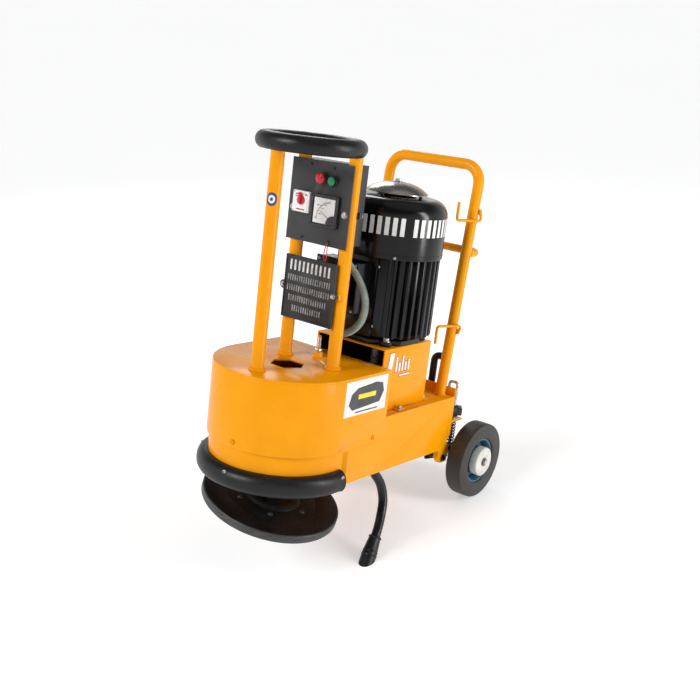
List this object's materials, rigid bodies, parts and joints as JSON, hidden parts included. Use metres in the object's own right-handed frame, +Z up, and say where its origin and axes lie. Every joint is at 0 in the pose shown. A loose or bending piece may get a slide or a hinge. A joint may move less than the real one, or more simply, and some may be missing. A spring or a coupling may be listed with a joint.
{
  "type": "walk-behind concrete floor grinder",
  "caption": "Walk-behind electric floor grinder: drum head with tilting disc, finned motor, control panel on posts under a ring, handle, wheels and stand.",
  "frame": {"origin": "centre of the bounding box in plan, at the floor the parked machine stands on", "axes": "+Z up, grinding head to the front (-Y), push handle to the rear (+Y), +X to the machine's left"},
  "size_m": [0.626, 1.0376, 1.2757],
  "materials": {
    "orange_paint": "gloss enamel, orange-yellow",
    "black_paint": "gloss enamel, black",
    "motor_alloy": "cast and painted gloss black",
    "panel_dark": "satin powder coat",
    "cast_black": "rough casting",
    "black_rubber": "matte",
    "tyre_rubber": "matte",
    "bright_steel": "machined or plated",
    "stainless": "polished",
    "disc_iron": "scaled casting with a turned rim",
    "rim_blue": "gloss enamel, blue",
    "nylon": "moulded",
    "conduit_plastic": "ribbed",
    "dark_plastic": "moulded",
    "red_plastic": "moulded",
    "green_plastic": "moulded",
    "white_plastic": "moulded",
    "grit": "bonded abrasive grit"
  },
  "bodies": {
    "chassis": {"deck_plate": "orange_paint", "drum_shell": "orange_paint", "skirt_band": "orange_paint", "chassis_shell": "orange_paint", "motor_box": "orange_paint", "bearing_plate": "orange_paint", "post_front": "orange_paint", "post_rear_right": "orange_paint", "post_rear_left": "orange_paint", "handle_loop": "orange_paint", "push_bar": "orange_paint", "cable_hook_upper": "orange_paint", "cable_hook_lower": "orange_paint", "terminal_box": "black_paint", "terminal_lid": "black_paint", "motor_frame": "motor_alloy", "motor_cowl": "motor_alloy", "panel_plate": "panel_dark", "control_box": "panel_dark", "bearing_housing": "cast_black", "nameplate": "cast_black", "rubber_bumper": "black_rubber", "ring_rubber": "black_rubber", "rear_grab": "black_rubber", "drive_belt": "black_rubber", "ring_hoop": "bright_steel", "rear_bail": "bright_steel", "adjuster_spring": "bright_steel", "rain_cap": "stainless", "motor_conduit": "conduit_plastic", "stop_bezel": "dark_plastic", "start_bezel": "dark_plastic", "ammeter_case": "dark_plastic", "isolator_base": "white_plastic"},
    "spindle": {"spindle_shaft": "bright_steel", "spindle_pulley": "cast_black", "coupling_yoke": "bright_steel"},
    "motor_rotor": {"motor_shaft": "bright_steel", "motor_pulley": "cast_black", "motor_fan": "dark_plastic"},
    "disc_cross": {"coupling_cross": "bright_steel"},
    "disc": {"grinding_disc": "disc_iron", "abrasive_block_1": "grit", "abrasive_block_2": "grit", "abrasive_block_3": "grit"},
    "wheel_carrier": {"wheel_frame": "black_paint"},
    "wheel_left": {"tyre_left": "tyre_rubber", "wheel_rim_left": "rim_blue", "hub_cap_left": "nylon"},
    "wheel_right": {"tyre_right": "tyre_rubber", "wheel_rim_right": "rim_blue", "hub_cap_right": "nylon"},
    "height_adjuster": {"adjuster_screw": "bright_steel", "adjuster_knob": "black_rubber"},
    "stand": {"stand_frame": "black_paint", "stand_boot_left": "black_rubber", "stand_boot_right": "black_rubber"},
    "stop": {"stop_button": "red_plastic"},
    "start": {"start_button": "green_plastic"},
    "isolator": {"isolator_lever": "red_plastic"}
  },
  "joints": [
    {"name": "spindle_spin", "type": "hinge", "parent": "chassis", "child": "spindle", "pos_m": [0, -0.29811, 0.23844], "axis": [0, 0.1833, 0.9831], "continuous": true},
    {"name": "motor_spin", "type": "hinge", "parent": "chassis", "child": "motor_rotor", "pos_m": [0.063, 0.11327, 0.54626], "axis": [0, 0.1833, 0.9831], "continuous": true},
    {"name": "cross_tilt", "type": "hinge", "parent": "spindle", "child": "disc_cross", "pos_m": [0, -0.29811, 0.23844], "axis": [1, 0, 0], "range_deg": [-8, 8]},
    {"name": "disc_tilt", "type": "hinge", "parent": "disc_cross", "child": "disc", "pos_m": [0, -0.29811, 0.23844], "axis": [0, 0.9831, -0.1833], "range_deg": [-26.3, 0.5]},
    {"name": "wheel_height", "type": "hinge", "parent": "chassis", "child": "wheel_carrier", "pos_m": [0, 0.27228, 0.16059], "axis": [1, 0, 0], "range_deg": [-5, 5], "deforming": ["adjuster_spring"]},
    {"name": "adjuster_turn", "type": "hinge", "parent": "chassis", "child": "height_adjuster", "pos_m": [0.191, 0.36549, 0.26223], "axis": [0, 0.1833, 0.9831], "range_deg": [-770, 770]},
    {"name": "wheel_left_roll", "type": "hinge", "parent": "wheel_carrier", "child": "wheel_left", "pos_m": [0.263, 0.38688, 0.126], "axis": [1, 0, 0], "continuous": true},
    {"name": "wheel_right_roll", "type": "hinge", "parent": "wheel_carrier", "child": "wheel_right", "pos_m": [-0.263, 0.38688, 0.126], "axis": [1, 0, 0], "continuous": true},
    {"name": "stand_fold", "type": "hinge", "parent": "chassis", "child": "stand", "pos_m": [0, -0.07468, 0.2802], "axis": [1, 0, 0], "range_deg": [0, 43]},
    {"name": "stop_press", "type": "slide", "parent": "chassis", "child": "stop", "axis": [0, 0.9831, -0.1833], "range_m": [0, 0.004], "stiffness_N_per_m": 600},
    {"name": "start_press", "type": "slide", "parent": "chassis", "child": "start", "axis": [0, 0.9831, -0.1833], "range_m": [0, 0.004], "stiffness_N_per_m": 600},
    {"name": "isolator_turn", "type": "hinge", "parent": "chassis", "child": "isolator", "pos_m": [-0.027, -0.12451, 1.06055], "axis": [0, 0.9831, -0.1833], "range_deg": [0, 90]}
  ],
  "couplings": [
    {"joint": "motor_spin", "follows": "spindle_spin", "ratio": 2.0968},
    {"joint": "adjuster_turn", "follows": "wheel_height", "ratio": -152.89}
  ]
}
